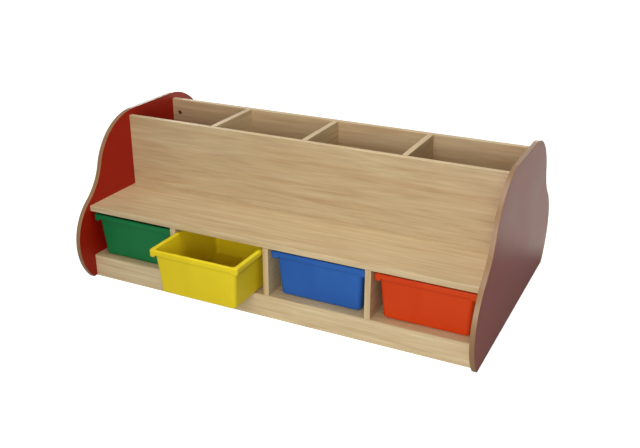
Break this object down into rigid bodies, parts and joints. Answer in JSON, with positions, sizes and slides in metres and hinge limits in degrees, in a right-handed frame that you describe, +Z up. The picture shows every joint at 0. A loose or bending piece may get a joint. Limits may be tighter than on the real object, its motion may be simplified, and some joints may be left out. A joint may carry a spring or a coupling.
{
  "type": "bookcase bench",
  "caption": "Two-sided nursery bench with a divided book trough between its backrests, curved side panels and pull-out storage trays under the seats.",
  "frame": {"origin": "on the floor, under the middle of the whole object with the yellow tray drawn out", "axes": "+X along the bench to the right of someone facing its front, +Y from front to rear, +Z up"},
  "size_m": [1.363, 0.9765, 0.526],
  "materials": {
    "beech_laminate": "satin beech-pattern melamine on board",
    "beech_edge_band": "satin pale beech-pattern edging",
    "red_laminate": "semi-gloss red laminate on board",
    "panel_edge_band": "satin beech-pattern edging",
    "green_tray_plastic": "satin moulded",
    "yellow_tray_plastic": "satin moulded",
    "blue_tray_plastic": "satin moulded",
    "red_tray_plastic": "satin moulded",
    "dowel_beech": "bare turned beech",
    "dark_zinc": "dark die-cast",
    "bright_steel": "bright zinc-plated"
  },
  "bodies": {
    "carcass": {"bench_top": "beech_laminate", "front_backrest": "beech_laminate", "rear_backrest": "beech_laminate", "book_divider_1": "beech_laminate", "book_divider_2": "beech_laminate", "book_divider_3": "beech_laminate", "base_shelf": "beech_laminate", "front_plinth": "beech_laminate", "rear_plinth": "beech_laminate", "centre_spine": "beech_laminate", "front_divider_1": "beech_laminate", "front_divider_2": "beech_laminate", "front_divider_3": "beech_laminate", "rear_divider_1": "beech_laminate", "rear_divider_2": "beech_laminate", "rear_divider_3": "beech_laminate", "left_side_panel": "red_laminate", "right_side_panel": "red_laminate", "left_side_edge_band": "panel_edge_band", "right_side_edge_band": "panel_edge_band", "front_seat_edge_band": "beech_edge_band", "rear_seat_edge_band": "beech_edge_band", "front_backrest_edge_band": "beech_edge_band", "rear_backrest_edge_band": "beech_edge_band", "front_plinth_edge_band": "beech_edge_band", "rear_plinth_edge_band": "beech_edge_band", "book_divider_edge_band_1": "beech_edge_band", "book_divider_edge_band_2": "beech_edge_band", "book_divider_edge_band_3": "beech_edge_band", "front_divider_edge_band_1": "beech_edge_band", "front_divider_edge_band_2": "beech_edge_band", "front_divider_edge_band_3": "beech_edge_band", "rear_divider_edge_band_1": "beech_edge_band", "rear_divider_edge_band_2": "beech_edge_band", "rear_divider_edge_band_3": "beech_edge_band", "bench_top_dowel_left_front": "dowel_beech", "bench_top_dowel_left_rear": "dowel_beech", "bench_top_dowel_right_front": "dowel_beech", "bench_top_dowel_right_rear": "dowel_beech", "base_shelf_dowel_left_front": "dowel_beech", "base_shelf_dowel_left_rear": "dowel_beech", "base_shelf_dowel_right_front": "dowel_beech", "base_shelf_dowel_right_rear": "dowel_beech", "front_backrest_cam_left": "dark_zinc", "front_backrest_cam_right": "dark_zinc", "rear_backrest_cam_left": "dark_zinc", "rear_backrest_cam_right": "dark_zinc", "front_backrest_cam_bolt_left": "bright_steel", "front_backrest_cam_bolt_right": "bright_steel", "rear_backrest_cam_bolt_left": "bright_steel", "rear_backrest_cam_bolt_right": "bright_steel"},
    "front_green_tray": {"front_green_tray": "green_tray_plastic"},
    "front_yellow_tray": {"front_yellow_tray": "yellow_tray_plastic"},
    "front_blue_tray": {"front_blue_tray": "blue_tray_plastic"},
    "front_red_tray": {"front_red_tray": "red_tray_plastic"},
    "rear_green_tray": {"rear_green_tray": "green_tray_plastic"},
    "rear_yellow_tray": {"rear_yellow_tray": "yellow_tray_plastic"},
    "rear_blue_tray": {"rear_blue_tray": "blue_tray_plastic"},
    "rear_red_tray": {"rear_red_tray": "red_tray_plastic"}
  },
  "joints": [
    {"name": "front_green_tray_slide", "type": "slide", "parent": "carcass", "child": "front_green_tray", "axis": [0, -1, 0], "range_m": [-0.006, 0.354]},
    {"name": "front_yellow_tray_slide", "type": "slide", "parent": "carcass", "child": "front_yellow_tray", "axis": [0, -1, 0], "range_m": [-0.157, 0.203]},
    {"name": "front_blue_tray_slide", "type": "slide", "parent": "carcass", "child": "front_blue_tray", "axis": [0, -1, 0], "range_m": [0, 0.36]},
    {"name": "front_red_tray_slide", "type": "slide", "parent": "carcass", "child": "front_red_tray", "axis": [0, -1, 0], "range_m": [0, 0.36]},
    {"name": "rear_green_tray_slide", "type": "slide", "parent": "carcass", "child": "rear_green_tray", "axis": [0, 1, 0], "range_m": [0, 0.36]},
    {"name": "rear_yellow_tray_slide", "type": "slide", "parent": "carcass", "child": "rear_yellow_tray", "axis": [0, 1, 0], "range_m": [0, 0.36]},
    {"name": "rear_blue_tray_slide", "type": "slide", "parent": "carcass", "child": "rear_blue_tray", "axis": [0, 1, 0], "range_m": [0, 0.36]},
    {"name": "rear_red_tray_slide", "type": "slide", "parent": "carcass", "child": "rear_red_tray", "axis": [0, 1, 0], "range_m": [0, 0.36]}
  ]
}
